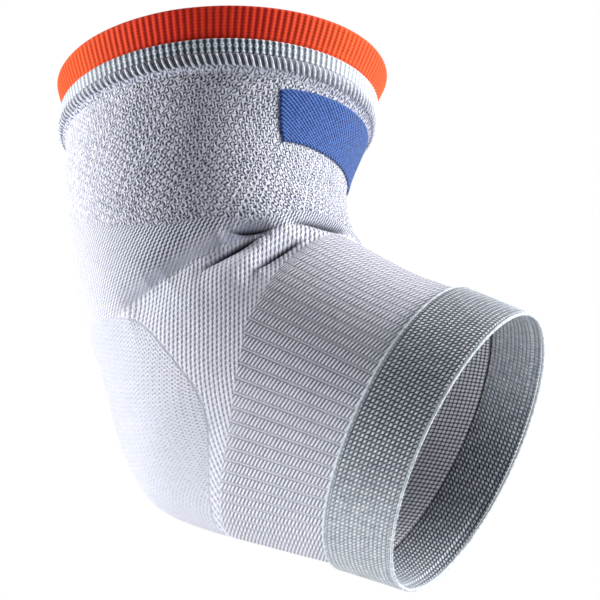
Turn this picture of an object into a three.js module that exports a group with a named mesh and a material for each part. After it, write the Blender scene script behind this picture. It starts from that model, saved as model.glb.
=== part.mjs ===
// An elbow support: a knitted sleeve that is bent at the elbow as it sits on an arm.
// The upper arm opening has a coloured band behind a ribbed welt, with a raised overlock seam under it.
// The forearm opening has a woven elastic cuff between two thin cords, and a plain label lies on the front.
// Millimetres, +Z up along the upper arm. The origin is the point where the two arm axes cross.
// The forearm runs to +X and down, the outside of the elbow faces -X, and Y lies across the arm.

import * as THREE from 'three';

// Lengths of the two arms of the sleeve, from the origin
const UPPER_LENGTH = 74.0; // to the upper edge of the welt
const FOREARM_LENGTH = 88.5; // to the edge of the cuff
const BEND_ANGLE = 61.5; // how far the forearm turns away from straight, in degrees
const BEND_RADIUS = 46.5; // of the middle line round the crook

// Radii of the knitted tube at its two ends, and its wall
const UPPER_RADIUS = 48.0;
const FOREARM_RADIUS = 43.2;
const KNIT_WALL = 1.8;

// The finishing pieces
const GAP = 0.3; // clearance between neighbours that are sewn together
const WELT_HEIGHT = 4.6;
const WELT_WALL = 1.8;
const WELT_PROUD = 1.0; // how far the welt stands out from the knit
const BAND_SHOWN = 9.3; // height of the coloured band above the welt
const BAND_TUCK = 3.6; // what runs down behind the welt
const BAND_WALL = 1.5;
const BAND_FLARE = 3.5; // how far its upper edge stands out from the knit
const SEAM_HEIGHT = 4.9;
const SEAM_THICKNESS = 1.9;
const CUFF_WIDTH = 19.5;
const CUFF_WALL = 1.1;
const CUFF_OVERLAP = 3.5; // of the cuff over the end of the knit
const CUFF_LIP = 2.6; // the thinner lip inside the edge of the cuff
const CUFF_LIP_WALL = 0.6;
const CORD_RADIUS = 0.5; // of the cords along both edges of the cuff
const LABEL_HEIGHT = 14.2;
const LABEL_WALL = 0.7;
const FOLD_DEPTH = 3.0; // of the deepest crease at the crook
const FOLD_WIDTH = 4.0;

// How finely the surfaces are divided
const COLUMNS = 56;
const SLEEVE_ROWS = 30;
const LABEL_COLUMNS = 15;
const LABEL_ROWS = 5;
const CORD_SIDES = 5;
const FOLD_STEPS = 12;

// A section for each row. The station runs from -1 at the welt's upper edge to 0 where the bend begins,
// 1 where the bend ends and 2 at the edge of the cuff. The four half-widths are shares of the tube's radius
// there: towards the crook, towards the elbow tip, and to the near and the far side. Lean is in degrees.
const SECTIONS = [
  { station: -1.0, crook: 1.0, tip: 1.0, near: 1.0, far: 1.0, lean: 3.4 },
  { station: -0.8, crook: 0.95, tip: 0.975, near: 0.98, far: 0.98, lean: 3.0 },
  { station: -0.5, crook: 0.825, tip: 0.96, near: 0.945, far: 0.95, lean: 1.0 },
  { station: -0.25, crook: 0.83, tip: 0.935, near: 0.93, far: 0.94, lean: 0 },
  { station: 0.0, crook: 0.9, tip: 0.89, near: 0.925, far: 0.94, lean: 0 },
  { station: 0.25, crook: 0.94, tip: 0.875, near: 0.935, far: 0.94, lean: 0 },
  { station: 0.5, crook: 0.965, tip: 0.96, near: 0.97, far: 0.97, lean: 0 },
  { station: 0.72, crook: 0.98, tip: 1.175, near: 1.0, far: 1.0, lean: 0 },
  { station: 0.85, crook: 0.98, tip: 1.285, near: 1.015, far: 1.01, lean: 0 },
  { station: 1.0, crook: 0.975, tip: 1.255, near: 1.025, far: 1.02, lean: 0 },
  { station: 1.4, crook: 0.94, tip: 1.145, near: 1.03, far: 1.05, lean: 0 },
  { station: 1.68, crook: 0.975, tip: 1.07, near: 1.02, far: 1.03, lean: 0 },
  { station: 2.0, crook: 0.995, tip: 1.005, near: 1.0, far: 1.01, lean: 0 },
];

// A row for each fold: where it starts, passes and ends, as [angle in degrees, station], with its depth and
// width as shares of FOLD_DEPTH and FOLD_WIDTH. A negative depth is a ridge. Angle 0 faces the crook.
const FOLDS = [
  { name: 'upper crease', from: [285, 0.365], by: [294, 0.403], to: [304, 0.463], depth: 0.8, width: 0.6 },
  { name: 'long crease', from: [269, 0.53], by: [286, 0.52], to: [298, 0.488], depth: 0.9, width: 0.7 },
  { name: 'short crease', from: [282, 0.775], by: [297, 0.752], to: [314, 0.763], depth: 0.9, width: 0.8 },
  { name: 'crook overlap', from: [312, 0.445], by: [330, 0.43], to: [346, 0.62], depth: 0.7, width: 0.6 },
  { name: 'side valley', from: [240, 0.42], by: [264, 0.41], to: [286, 0.42], depth: 1.0, width: 1.5 },
  { name: 'side dent', from: [258, 0.46], by: [243, 0.49], to: [228, 0.48], depth: 0.7, width: 1.7 },
  { name: 'rib roll', from: [262, 0.66], by: [278, 0.7], to: [296, 0.72], depth: -0.35, width: 1.3 },
  { name: 'upper roll', from: [262, 0.24], by: [288, 0.26], to: [318, 0.12], depth: -0.4, width: 1.9 },
  { name: 'far crease', from: [40, 0.42], by: [62, 0.47], to: [86, 0.5], depth: 0.9, width: 0.8 },
  { name: 'far valley', from: [72, 0.72], by: [92, 0.66], to: [118, 0.56], depth: 0.8, width: 1.5 },
  { name: 'front seam line', from: [318, -0.14], by: [340, -0.2], to: [366, -0.28], depth: 0.25, width: 0.5 },
];

// The label's corners, as [angle in degrees, height above the origin as a share of UPPER_LENGTH]
const LABEL_START = { angle: 308.5, top: 0.812 };
const LABEL_END = { angle: 379, top: 0.864 };
const LABEL_LEAN = 6; // degrees that its lower edge is further round than its upper edge

const radians = THREE.MathUtils.degToRad;
const bend = radians(BEND_ANGLE);
const tangent = BEND_RADIUS * Math.tan(bend / 2); // from the origin to where the bend begins
const pivot = new THREE.Vector3(BEND_RADIUS, 0, tangent);

// A smooth curve through one column of the section table, level beyond its ends.
function column(name, place) {
  const last = SECTIONS.length - 1;
  const station = THREE.MathUtils.clamp(place, SECTIONS[0].station, SECTIONS[last].station);
  let i = 0;
  while (i < last - 1 && SECTIONS[i + 1].station <= station) i += 1;
  const slope = (k) => {
    const before = SECTIONS[Math.max(k - 1, 0)];
    const after = SECTIONS[Math.min(k + 1, last)];
    return (after[name] - before[name]) / (after.station - before.station);
  };
  const a = SECTIONS[i];
  const b = SECTIONS[i + 1];
  const h = b.station - a.station;
  const t = (station - a.station) / h;
  return (
    (2 * t ** 3 - 3 * t ** 2 + 1) * a[name] +
    (t ** 3 - 2 * t ** 2 + t) * h * slope(i) +
    (-2 * t ** 3 + 3 * t ** 2) * b[name] +
    (t ** 3 - t ** 2) * h * slope(i + 1)
  );
}

// The middle of the tube at a station, with the direction towards the crook and the direction along the arm.
function frameAt(station) {
  const turn = bend * THREE.MathUtils.clamp(station, 0, 1);
  const along = new THREE.Vector3(Math.sin(turn), 0, -Math.cos(turn));
  const crook = new THREE.Vector3(Math.cos(turn), 0, Math.sin(turn));
  const centre = pivot.clone().addScaledVector(crook, -BEND_RADIUS);
  if (station < 0) centre.addScaledVector(along, station * (UPPER_LENGTH - tangent));
  if (station > 1) centre.addScaledVector(along, (station - 1) * (FOREARM_LENGTH - tangent));
  const lean = radians(column('lean', station));
  const leaning = crook.clone().multiplyScalar(Math.cos(lean)).addScaledVector(along, -Math.sin(lean));
  return { centre, along, crook: leaning };
}

const upperStation = (height) => -(height - tangent) / (UPPER_LENGTH - tangent);
const forearmStation = (distance) => 1 + (distance - tangent) / (FOREARM_LENGTH - tangent);

// A point of the tube at an angle and a station, stood off its surface by a distance.
function tubePoint(angle, station, standOff) {
  const { centre, crook } = frameAt(station);
  const blend = THREE.MathUtils.smoothstep(station, 0, 1);
  const radius = THREE.MathUtils.lerp(UPPER_RADIUS, FOREARM_RADIUS, blend);
  const cos = Math.cos(angle);
  const sin = Math.sin(angle);
  const inPlane = radius * column(cos > 0 ? 'crook' : 'tip', station) + standOff;
  const across = radius * column(sin > 0 ? 'far' : 'near', station) + standOff;
  const point = centre.addScaledVector(crook, cos * inPlane);
  point.y += sin * across;
  return point;
}

// Each fold's line on the plain tube, a curve that passes near its middle point.
const foldLines = FOLDS.map(({ from, by, to, depth, width }) => {
  const points = [];
  for (let i = 0; i <= FOLD_STEPS; i += 1) {
    const t = i / FOLD_STEPS;
    const mix = (k) => (1 - t) ** 2 * from[k] + 2 * t * (1 - t) * by[k] + t ** 2 * to[k];
    points.push(tubePoint(radians(mix(0)), mix(1), 0));
  }
  return { points, depth: depth * FOLD_DEPTH, width: width * FOLD_WIDTH };
});

// How far the folds move a point of the tube inwards: each is a bell-shaped groove that fades at its ends.
function foldDepth(point) {
  const nearest = new THREE.Vector3();
  const piece = new THREE.Line3();
  let depth = 0;
  for (const fold of foldLines) {
    let best = Infinity;
    let fade = 0;
    for (let i = 0; i < FOLD_STEPS; i += 1) {
      piece.set(fold.points[i], fold.points[i + 1]);
      const t = piece.closestPointToPointParameter(point, true);
      piece.at(t, nearest);
      const distance = nearest.distanceTo(point);
      if (distance < best) {
        best = distance;
        fade = Math.sin(Math.PI * THREE.MathUtils.clamp((i + t) / FOLD_STEPS, 0.12, 0.88));
      }
    }
    depth += fold.depth * fade * Math.exp(-((best / fold.width) ** 2));
  }
  return depth;
}

// A column's angle, closer together on the near side, where the folds are.
const NEAR_SIDE = radians(285);
const CROWDING = 0.28;
function columnAngle(i) {
  const even = (2 * Math.PI * i) / COLUMNS;
  return even - CROWDING * Math.sin(even - NEAR_SIDE);
}

// A closed body from a grid of points that closes on itself both ways.
function loopBody(rows, count, pointAt) {
  const positions = [];
  const index = [];
  for (let j = 0; j < rows; j += 1) {
    for (let i = 0; i < count; i += 1) positions.push(...pointAt(i, j).toArray());
  }
  for (let j = 0; j < rows; j += 1) {
    for (let i = 0; i < count; i += 1) {
      const a = j * count + i;
      const b = j * count + ((i + 1) % count);
      const c = ((j + 1) % rows) * count + ((i + 1) % count);
      const d = ((j + 1) % rows) * count + i;
      index.push(a, d, c, a, c, b);
    }
  }
  const geometry = new THREE.BufferGeometry();
  geometry.setAttribute('position', new THREE.Float32BufferAttribute(positions, 3));
  geometry.setIndex(index);
  geometry.computeVertexNormals();
  return geometry;
}

// A ring whose section is a closed outline of [stand-off, place along the arm] pairs, carried round the tube.
// The outline goes down the outside and up the inside.
function ringBody(outline, stationOf) {
  return loopBody(outline.length, COLUMNS, (i, j) => {
    const [standOff, place] = outline[j];
    return tubePoint(columnAngle(i), stationOf(place), standOff);
  });
}

const seamTop = UPPER_LENGTH - WELT_HEIGHT - GAP;
const cuffStart = FOREARM_LENGTH - CUFF_WIDTH;

// Rows crowd in the bend, where the outside of the elbow is longest.
const ROW_CROWDING = 0.075;
function crowdedShare(share) {
  const shift = UPPER_LENGTH / (UPPER_LENGTH + FOREARM_LENGTH);
  const wave = (x) => ROW_CROWDING * Math.sin(2 * Math.PI * x);
  return share + wave(share - shift) + wave(shift);
}

// The knitted tube: down the outside and back up the inside, with the same folds in both faces.
function sleeve() {
  const first = upperStation(seamTop - GAP);
  const last = forearmStation(cuffStart + CUFF_OVERLAP);
  return loopBody(2 * SLEEVE_ROWS, COLUMNS, (i, j) => {
    const outside = j < SLEEVE_ROWS;
    const row = outside ? j : 2 * SLEEVE_ROWS - 1 - j;
    const share = row / (SLEEVE_ROWS - 1);
    const station = THREE.MathUtils.lerp(first, last, crowdedShare(share));
    const angle = columnAngle(i);
    const depth = foldDepth(tubePoint(angle, station, 0));
    return tubePoint(angle, station, (outside ? 0 : -KNIT_WALL) - depth);
  });
}

// The coloured band starts behind the welt and flares out above it.
function upperBand() {
  const tucked = WELT_PROUD - WELT_WALL - GAP;
  const rim = UPPER_LENGTH + BAND_SHOWN;
  const flareAt = (share) => THREE.MathUtils.lerp(tucked, BAND_FLARE, share);
  const outline = [
    [flareAt(0.94), rim],
    [flareAt(1), rim - 0.3 * BAND_WALL],
    [flareAt(0.62), UPPER_LENGTH + 0.52 * BAND_SHOWN],
    [flareAt(0.2), UPPER_LENGTH + 0.1 * BAND_SHOWN],
    [tucked, UPPER_LENGTH],
    [tucked, UPPER_LENGTH - BAND_TUCK],
    [tucked - BAND_WALL, UPPER_LENGTH - BAND_TUCK],
    [tucked - BAND_WALL, UPPER_LENGTH],
    [flareAt(0.6) - BAND_WALL, UPPER_LENGTH + 0.52 * BAND_SHOWN],
    [flareAt(0.94) - BAND_WALL, rim - 0.3 * BAND_WALL],
  ];
  return ringBody(outline, upperStation);
}

// The ribbed welt under the coloured band.
function upperWelt() {
  const foot = UPPER_LENGTH - WELT_HEIGHT;
  const outline = [
    [WELT_PROUD - 0.4 * WELT_WALL, UPPER_LENGTH],
    [WELT_PROUD, UPPER_LENGTH - 0.12 * WELT_HEIGHT],
    [WELT_PROUD, foot],
    [WELT_PROUD - WELT_WALL, foot],
    [WELT_PROUD - WELT_WALL, UPPER_LENGTH],
  ];
  return ringBody(outline, upperStation);
}

// The overlock seam is a ridge that lies over the upper end of the knit.
function overlockSeam() {
  const at = (share) => seamTop - share * SEAM_HEIGHT;
  const outline = [
    [GAP, at(0)],
    [GAP + 0.75 * SEAM_THICKNESS, at(0.03)],
    [GAP + SEAM_THICKNESS, at(0.28)],
    [GAP + 0.95 * SEAM_THICKNESS, at(0.62)],
    [GAP + 0.55 * SEAM_THICKNESS, at(0.93)],
    [GAP, at(1)],
  ];
  return ringBody(outline, upperStation);
}

// The woven cuff overlaps the end of the knit and has a thinner lip inside its edge.
function forearmCuff() {
  const outer = GAP + CUFF_WALL;
  const outline = [
    [outer, cuffStart],
    [outer, cuffStart + 0.33 * CUFF_WIDTH],
    [outer, cuffStart + 0.66 * CUFF_WIDTH],
    [outer, FOREARM_LENGTH],
    [outer - CUFF_LIP_WALL, FOREARM_LENGTH],
    [outer - CUFF_LIP_WALL, FOREARM_LENGTH - CUFF_LIP],
    [GAP, FOREARM_LENGTH - CUFF_LIP - 0.3 * CUFF_WALL],
    [GAP, cuffStart + 0.66 * CUFF_WIDTH],
    [GAP, cuffStart + 0.33 * CUFF_WIDTH],
    [GAP, cuffStart],
  ];
  return ringBody(outline, forearmStation);
}

// A round cord along one edge of the cuff.
function edgeCord(distance) {
  const standOff = GAP + Math.max(CUFF_WALL / 2, CORD_RADIUS);
  const outline = [];
  for (let k = 0; k < CORD_SIDES; k += 1) {
    const turn = (2 * Math.PI * k) / CORD_SIDES;
    outline.push([standOff + CORD_RADIUS * Math.cos(turn), distance + CORD_RADIUS * Math.sin(turn)]);
  }
  return ringBody(outline, forearmStation);
}

// The label is a thin patch on the knit that rises a little towards the front.
function label() {
  const facePoint = (column, row, standOff) => {
    const share = column / LABEL_COLUMNS;
    const lean = (LABEL_LEAN * row) / LABEL_ROWS;
    const angle = radians(THREE.MathUtils.lerp(LABEL_START.angle, LABEL_END.angle, share) + lean);
    const top = UPPER_LENGTH * THREE.MathUtils.lerp(LABEL_START.top, LABEL_END.top, Math.sqrt(share));
    const height = top - (LABEL_HEIGHT * row) / LABEL_ROWS;
    return tubePoint(angle, upperStation(height), standOff);
  };
  const positions = [];
  const index = [];
  const wide = LABEL_COLUMNS + 1;
  const high = LABEL_ROWS + 1;
  const at = (side, row, column) => side * wide * high + row * wide + column;
  for (const standOff of [GAP + LABEL_WALL, GAP]) {
    for (let row = 0; row < high; row += 1) {
      for (let c = 0; c < wide; c += 1) positions.push(...facePoint(c, row, standOff).toArray());
    }
  }
  const quad = (a, b, c, d) => index.push(a, b, c, a, c, d);
  for (let row = 0; row < LABEL_ROWS; row += 1) {
    for (let c = 0; c < LABEL_COLUMNS; c += 1) {
      quad(at(0, row, c), at(0, row + 1, c), at(0, row + 1, c + 1), at(0, row, c + 1));
      quad(at(1, row, c), at(1, row, c + 1), at(1, row + 1, c + 1), at(1, row + 1, c));
    }
    quad(at(0, row, 0), at(1, row, 0), at(1, row + 1, 0), at(0, row + 1, 0));
    const end = LABEL_COLUMNS;
    quad(at(0, row, end), at(0, row + 1, end), at(1, row + 1, end), at(1, row, end));
  }
  for (let c = 0; c < LABEL_COLUMNS; c += 1) {
    quad(at(0, 0, c), at(0, 0, c + 1), at(1, 0, c + 1), at(1, 0, c));
    const foot = LABEL_ROWS;
    quad(at(0, foot, c), at(1, foot, c), at(1, foot, c + 1), at(0, foot, c + 1));
  }
  const geometry = new THREE.BufferGeometry();
  geometry.setAttribute('position', new THREE.Float32BufferAttribute(positions, 3));
  geometry.setIndex(index);
  geometry.computeVertexNormals();
  return geometry;
}

function piece(name, geometry, color, roughness) {
  const mesh = new THREE.Mesh(geometry, new THREE.MeshStandardMaterial({ color, roughness, metalness: 0 }));
  mesh.name = name;
  return mesh;
}

const brace = new THREE.Group();
brace.name = 'elbow_brace';
brace.add(
  piece('sleeve', sleeve(), 0xe4e4f0, 0.85),
  piece('upper_band', upperBand(), 0xf0622a, 0.8),
  piece('upper_welt', upperWelt(), 0xb9c4cf, 0.85),
  piece('overlock_seam', overlockSeam(), 0xd5d9e2, 0.8),
  piece('forearm_cuff', forearmCuff(), 0xa7b3c0, 0.8),
  piece('cuff_edge_cord', edgeCord(cuffStart - GAP - CORD_RADIUS), 0xd4dde4, 0.7),
  piece('cuff_rim_cord', edgeCord(FOREARM_LENGTH + GAP + CORD_RADIUS), 0xe2e8ec, 0.7),
  piece('label', label(), 0x3463b0, 0.75),
);

export default brace;
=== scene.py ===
# %% [markdown]
# # A knitted elbow support, bent as it is worn
#
# The real thing is one knitted tube with a bend in it. Its upper end has a coloured ribbed band behind a
# grey welt and a row of overlock stitches, its lower end has a woven elastic cuff between two cords, and a
# plain woven label sits at the front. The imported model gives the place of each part. Here each part becomes
# a surface with its own yarns: a tube worked out from an angle and a place along the arm, with the stitches
# pressed into it as relief and painted by the same formulas.

import bpy
import numpy as np
from mathutils import Matrix, Vector


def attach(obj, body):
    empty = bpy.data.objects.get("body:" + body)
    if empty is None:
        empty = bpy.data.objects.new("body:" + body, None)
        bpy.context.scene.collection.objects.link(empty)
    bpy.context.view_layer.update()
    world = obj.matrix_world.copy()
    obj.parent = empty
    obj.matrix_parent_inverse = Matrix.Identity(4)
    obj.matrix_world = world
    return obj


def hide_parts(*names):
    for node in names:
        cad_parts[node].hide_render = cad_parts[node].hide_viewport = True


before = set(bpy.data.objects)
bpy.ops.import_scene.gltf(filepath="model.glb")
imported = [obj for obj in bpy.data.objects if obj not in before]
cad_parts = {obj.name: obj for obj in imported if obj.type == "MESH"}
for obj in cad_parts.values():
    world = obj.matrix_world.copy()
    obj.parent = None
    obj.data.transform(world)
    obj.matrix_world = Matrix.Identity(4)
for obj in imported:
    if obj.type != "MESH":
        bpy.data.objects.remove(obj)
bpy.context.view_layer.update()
MM = 0.001
TAU = 2.0 * np.pi
print("nodes of the frame:", ", ".join(sorted(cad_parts)))

# %% [markdown]
# ## The camera
#
# The picture was taken from a little under the support with a long lens, so far edges are hardly smaller
# than near ones. A camera could be aimed by hand. Here it is placed by the direction that it looks along,
# which gives the same view each time: an azimuth round Z, a height above the horizon, a roll, and a distance
# from the point in the middle of the picture.

# %% Camera
CAMERA_AZIMUTH = np.radians(12.5)
CAMERA_HEIGHT = np.radians(-22.2)
CAMERA_ROLL = np.radians(1.3)
CAMERA_DISTANCE = 1200.0
CAMERA_TARGET = np.array([26.75, 0.0, 8.8])
CAMERA_LENS = 240.0

away = np.array([
    np.sin(CAMERA_AZIMUTH) * np.cos(CAMERA_HEIGHT),
    -np.cos(CAMERA_AZIMUTH) * np.cos(CAMERA_HEIGHT),
    np.sin(CAMERA_HEIGHT),
])
level = np.array([np.cos(CAMERA_AZIMUTH), np.sin(CAMERA_AZIMUTH), 0.0])
upright = np.cross(away, level)
view_right = np.cos(CAMERA_ROLL) * level + np.sin(CAMERA_ROLL) * upright
view_up = np.cross(away, view_right)
eye = CAMERA_TARGET + CAMERA_DISTANCE * away

camera = bpy.data.objects.new("camera", bpy.data.cameras.new("camera"))
camera.data.lens = CAMERA_LENS
camera.data.sensor_width = 36.0
turn_matrix = Matrix(np.column_stack([view_right, view_up, away]).tolist()).to_4x4()
camera.matrix_world = Matrix.Translation(Vector(eye * MM)) @ turn_matrix
bpy.context.scene.collection.objects.link(camera)
bpy.context.scene.camera = camera
print("camera at", np.round(eye * MM, 3))

# %% [markdown]
# ## The sizes of the support
#
# Millimetres, from the point where the two arm axes cross. The same values place the solids of the frame,
# so a surface made from them lies where the solid lies.

# %% Sizes
UPPER_LENGTH = 74.0
FOREARM_LENGTH = 88.5
BEND = np.radians(61.5)
BEND_RADIUS = 46.5
UPPER_RADIUS = 48.0
FOREARM_RADIUS = 43.2
KNIT_WALL = 1.8
GAP = 0.3
WELT_HEIGHT = 4.6
WELT_WALL = 1.8
WELT_PROUD = 1.0
BAND_SHOWN = 9.3
BAND_TUCK = 3.6
BAND_WALL = 1.5
BAND_FLARE = 3.5
SEAM_HEIGHT = 4.9
SEAM_THICKNESS = 1.9
CUFF_WIDTH = 19.5
CUFF_WALL = 1.1
CUFF_OVERLAP = 3.5
CUFF_LIP = 2.6
CUFF_LIP_WALL = 0.6
CORD_RADIUS = 0.5
LABEL_HEIGHT = 14.2
LABEL_WALL = 0.7
FOLD_DEPTH = 3.0
FOLD_WIDTH = 4.0

TANGENT = BEND_RADIUS * np.tan(BEND / 2)
UPPER_STRAIGHT = UPPER_LENGTH - TANGENT
FOREARM_STRAIGHT = FOREARM_LENGTH - TANGENT
SEAM_TOP = UPPER_LENGTH - WELT_HEIGHT - GAP
CUFF_START = FOREARM_LENGTH - CUFF_WIDTH
print(f"bend begins {TANGENT:.1f} mm from the crossing of the axes")

# %% [markdown]
# ## Sections and folds
#
# A limb in a sleeve has no round section: it is fuller at the elbow tip and flatter at the crook. A table
# gives four half-widths for a few stations, as shares of the tube's radius, and a smooth curve runs through
# each column. Folds are lines drawn on the tube, each a bell-shaped groove or ridge.

# %% Section and fold tables
# Stations, then for each the four half-widths as shares of the radius and the section's lean in degrees
STATION = np.array([-1.0, -0.8, -0.5, -0.25, 0.0, 0.25, 0.5, 0.72, 0.85, 1.0, 1.4, 1.68, 2.0])
CROOK = np.array([1.0, 0.95, 0.825, 0.83, 0.9, 0.94, 0.965, 0.98, 0.98, 0.975, 0.94, 0.975, 0.995])
TIP = np.array([1.0, 0.975, 0.96, 0.935, 0.89, 0.875, 0.96, 1.175, 1.285, 1.255, 1.145, 1.07, 1.005])
NEAR = np.array([1.0, 0.98, 0.945, 0.93, 0.925, 0.935, 0.97, 1.0, 1.015, 1.025, 1.03, 1.02, 1.0])
FAR = np.array([1.0, 0.98, 0.95, 0.94, 0.94, 0.94, 0.97, 1.0, 1.01, 1.02, 1.05, 1.03, 1.01])
LEAN = np.array([3.4, 3.0, 1.0, 0.0, 0.0, 0.0, 0.0, 0.0, 0.0, 0.0, 0.0, 0.0, 0.0])

# Each row: the line's three points as (angle in degrees, station), then depth and width as shares.
FOLDS = {
    "upper crease": ((285, 0.365), (294, 0.403), (304, 0.463), 0.8, 0.6),
    "long crease": ((269, 0.53), (286, 0.52), (298, 0.488), 0.9, 0.7),
    "short crease": ((282, 0.775), (297, 0.752), (314, 0.763), 0.9, 0.8),
    "crook overlap": ((312, 0.445), (330, 0.43), (346, 0.62), 0.7, 0.6),
    "side valley": ((240, 0.42), (264, 0.41), (286, 0.42), 1.0, 1.5),
    "side dent": ((258, 0.46), (243, 0.49), (228, 0.48), 0.7, 1.7),
    "rib roll": ((262, 0.66), (278, 0.7), (296, 0.72), -0.35, 1.3),
    "upper roll": ((262, 0.24), (288, 0.26), (318, 0.12), -0.4, 1.9),
    "far crease": ((40, 0.42), (62, 0.47), (86, 0.5), 0.9, 0.8),
    "far valley": ((72, 0.72), (92, 0.66), (118, 0.56), 0.8, 1.5),
    "front seam line": ((318, -0.14), (340, -0.2), (366, -0.28), 0.25, 0.5),
}
FOLD_STEPS = 12
print(len(STATION), "sections and", len(FOLDS), "folds")

# %% [markdown]
# ## The tube
#
# A bent tube could be a curve with a bevel, but then its section would be the same all along. Here any point
# comes from an angle round the arm and a station along it: below 0 on the upper arm, 0 to 1 in the bend and
# above 1 on the forearm. Every piece asks the same function, so all of them fit on each other.

# %% The tube as a function of an angle and a station
def curve_through(x, xs, ys):
    """A smooth curve through points: a cubic between neighbours, sloped like the line past each point."""
    x = np.clip(x, xs[0], xs[-1])
    low = np.maximum(np.arange(len(xs)) - 1, 0)
    high = np.minimum(np.arange(len(xs)) + 1, len(xs) - 1)
    slope = (ys[high] - ys[low]) / (xs[high] - xs[low])
    i = np.clip(np.searchsorted(xs, x, side="right") - 1, 0, len(xs) - 2)
    h = xs[i + 1] - xs[i]
    t = (x - xs[i]) / h
    start = (2 * t**3 - 3 * t**2 + 1) * ys[i] + (t**3 - 2 * t**2 + t) * h * slope[i]
    return start + (-2 * t**3 + 3 * t**2) * ys[i + 1] + (t**3 - t**2) * h * slope[i + 1]


def tube_point(angle, station, stand_off=0.0):
    """Middle of the tube, plus cos(angle) half-widths towards crook or tip, plus sin(angle) ones across.

    The middle runs straight, round the bend's pivot, then straight again. A stand-off widens the section.
    """
    angle, station, stand_off = np.broadcast_arrays(angle, station, stand_off)
    turned = BEND * np.clip(station, 0, 1)
    straight = np.minimum(station, 0) * UPPER_STRAIGHT + np.maximum(station - 1, 0) * FOREARM_STRAIGHT
    cos_turned, sin_turned = np.cos(turned), np.sin(turned)
    middle_x = BEND_RADIUS - BEND_RADIUS * cos_turned + straight * sin_turned
    middle_z = TANGENT - BEND_RADIUS * sin_turned - straight * cos_turned
    lean = np.radians(curve_through(station, STATION, LEAN))
    towards_x = cos_turned * np.cos(lean) - sin_turned * np.sin(lean)
    towards_z = sin_turned * np.cos(lean) + cos_turned * np.sin(lean)
    blend = np.clip(station, 0, 1)
    radius = UPPER_RADIUS + (FOREARM_RADIUS - UPPER_RADIUS) * blend**2 * (3 - 2 * blend)
    c, s = np.cos(angle), np.sin(angle)
    front = np.where(c > 0, curve_through(station, STATION, CROOK), curve_through(station, STATION, TIP))
    side = np.where(s > 0, curve_through(station, STATION, FAR), curve_through(station, STATION, NEAR))
    in_plane = c * (radius * front + stand_off)
    across = s * (radius * side + stand_off)
    return np.stack([middle_x + in_plane * towards_x, across, middle_z + in_plane * towards_z], axis=-1)


def fold_depth(points):
    """Sum over the folds of depth * fade along the line * exp(-(distance / width) squared)."""
    depth = np.zeros(points.shape[:-1])
    share = np.linspace(0, 1, FOLD_STEPS + 1)[:, None]
    for start, by, end, deep, wide in FOLDS.values():
        start, by, end = (np.array(p, float) for p in (start, by, end))
        line = (1 - share) ** 2 * start + 2 * share * (1 - share) * by + share**2 * end
        path = tube_point(np.radians(line[:, 0]), line[:, 1])
        nearest = np.full(points.shape[:-1], np.inf)
        fade = np.zeros(points.shape[:-1])
        for i in range(FOLD_STEPS):
            step = path[i + 1] - path[i]
            t = np.clip((points - path[i]) @ step / (step @ step), 0, 1)
            distance = np.linalg.norm(points - path[i] - t[..., None] * step, axis=-1)
            closer = distance < nearest
            nearest = np.where(closer, distance, nearest)
            place = np.clip((i + t) / FOLD_STEPS, 0.12, 0.88)
            fade = np.where(closer, np.sin(np.pi * place), fade)
        depth += deep * FOLD_DEPTH * fade * np.exp(-((nearest / (wide * FOLD_WIDTH)) ** 2))
    return depth


def upper_station(height):
    """Station of a height above the crossing of the axes, on the upper arm."""
    return -(height - TANGENT) / UPPER_STRAIGHT


def forearm_station(distance):
    """Station of a distance from the crossing of the axes, on the forearm."""
    return 1 + (distance - TANGENT) / FOREARM_STRAIGHT


tip_point = tube_point(np.pi, 0.85)
print("the elbow tip is at", np.round(tip_point, 1), "mm")

# %% [markdown]
# ## Meshes from grids
#
# Most pieces are tubes with a wall: the outside runs down, the inside runs back up, and the grid of points
# closes on itself both ways. One function turns such a grid into a mesh. Its UV map holds the share of the
# turn and the length along the surface in millimetres, and further values per point go into attributes.

# %% Mesh helpers
def make_piece(name, points, faces, uv=None, values=None, normals=None):
    """A mesh object from points in millimetres and lists of faces, all set as whole arrays."""
    mesh = bpy.data.meshes.new(name)
    loops = np.concatenate([f.ravel() for f in faces])
    sizes = np.concatenate([np.full(len(f), f.shape[1]) for f in faces])
    mesh.vertices.add(len(points))
    mesh.vertices.foreach_set("co", (points * MM).astype(np.float32).ravel())
    mesh.loops.add(len(loops))
    mesh.loops.foreach_set("vertex_index", loops.astype(np.int32))
    mesh.polygons.add(len(sizes))
    mesh.polygons.foreach_set("loop_start", (np.cumsum(sizes) - sizes).astype(np.int32))
    mesh.polygons.foreach_set("use_smooth", np.ones(len(sizes), dtype=bool))
    if uv is not None:
        layer = mesh.uv_layers.new(name="knit")
        layer.uv.foreach_set("vector", uv.astype(np.float32).ravel())
    for key, value in (values or {}).items():
        attribute = mesh.attributes.new(key, "FLOAT", "POINT")
        attribute.data.foreach_set("value", value.astype(np.float32).ravel())
    mesh.update(calc_edges=True)
    if normals is not None:
        mesh.normals_split_custom_set_from_vertices(normals.reshape(-1, 3).tolist())
    piece = bpy.data.objects.new(name, mesh)
    bpy.context.scene.collection.objects.link(piece)
    triangles = int((sizes - 2).sum())
    print(f"{name}: {triangles} triangles")
    return piece


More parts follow.
